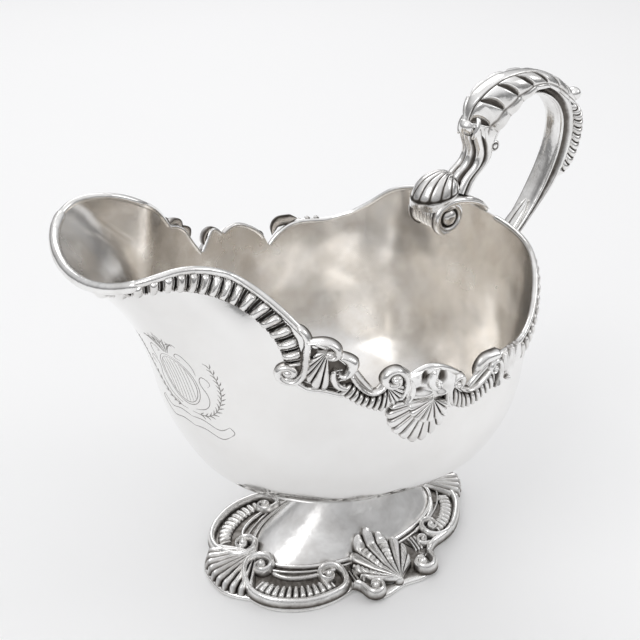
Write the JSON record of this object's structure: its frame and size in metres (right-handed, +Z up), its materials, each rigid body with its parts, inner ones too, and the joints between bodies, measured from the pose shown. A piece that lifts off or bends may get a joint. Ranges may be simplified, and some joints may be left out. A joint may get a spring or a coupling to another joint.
{
  "type": "sauce boat",
  "caption": "Silver sauce boat with a wide pouring lip, a scalloped cast border, a leaf-capped scroll handle and an ornamented oval foot.",
  "frame": {"origin": "the middle of the oval foot, on the surface the piece stands on", "axes": "+X from the pouring lip to the handle, +Z up, +Y to the right-hand side seen from the handle"},
  "size_m": [0.1963, 0.1256, 0.1687],
  "materials": {
    "polished_silver": "hand-polished sterling silver sheet",
    "border_silver": "cast silver border, bright on top with dark oxide in the recesses",
    "handle_silver": "cast silver handle, polished, with oxide in its channels",
    "foot_silver": "cast silver foot mounts, polished high points and dark recesses"
  },
  "bodies": {
    "root": {"arch_gadroons_left": "border_silver", "arch_gadroons_right": "border_silver", "bowl": "polished_silver", "clasp_buttons": "handle_silver", "corner_shell_left": "border_silver", "corner_shell_right": "border_silver", "crest_leaf_left": "border_silver", "crest_leaf_right": "border_silver", "foot_collar": "foot_silver", "foot_dome": "foot_silver", "foot_end_shell_front": "foot_silver", "foot_end_shell_rear": "foot_silver", "foot_moulding": "foot_silver", "foot_scroll_front_left": "foot_silver", "foot_scroll_front_right": "foot_silver", "foot_scroll_rear_left": "foot_silver", "foot_scroll_rear_right": "foot_silver", "foot_side_shell_left": "foot_silver", "foot_side_shell_right": "foot_silver", "foot_wire": "foot_silver", "front_festoon_left": "border_silver", "front_festoon_right": "border_silver", "handle_arm": "handle_silver", "handle_bead": "handle_silver", "handle_clasp": "handle_silver", "handle_cord": "handle_silver", "handle_curl": "handle_silver", "handle_knob": "handle_silver", "handle_leaf": "handle_silver", "handle_neck": "handle_silver", "lip_rim": "border_silver", "rear_festoon_left": "border_silver", "rear_festoon_right": "border_silver", "rear_gadroons_left": "border_silver", "rear_gadroons_right": "border_silver", "rear_leaf_left": "border_silver", "rear_leaf_right": "border_silver", "scroll_curl_left": "border_silver", "scroll_curl_right": "border_silver", "side_shell_left": "border_silver", "side_shell_right": "border_silver", "tail_leaf": "handle_silver", "thumb_shell": "handle_silver"}
  },
  "joints": []
}
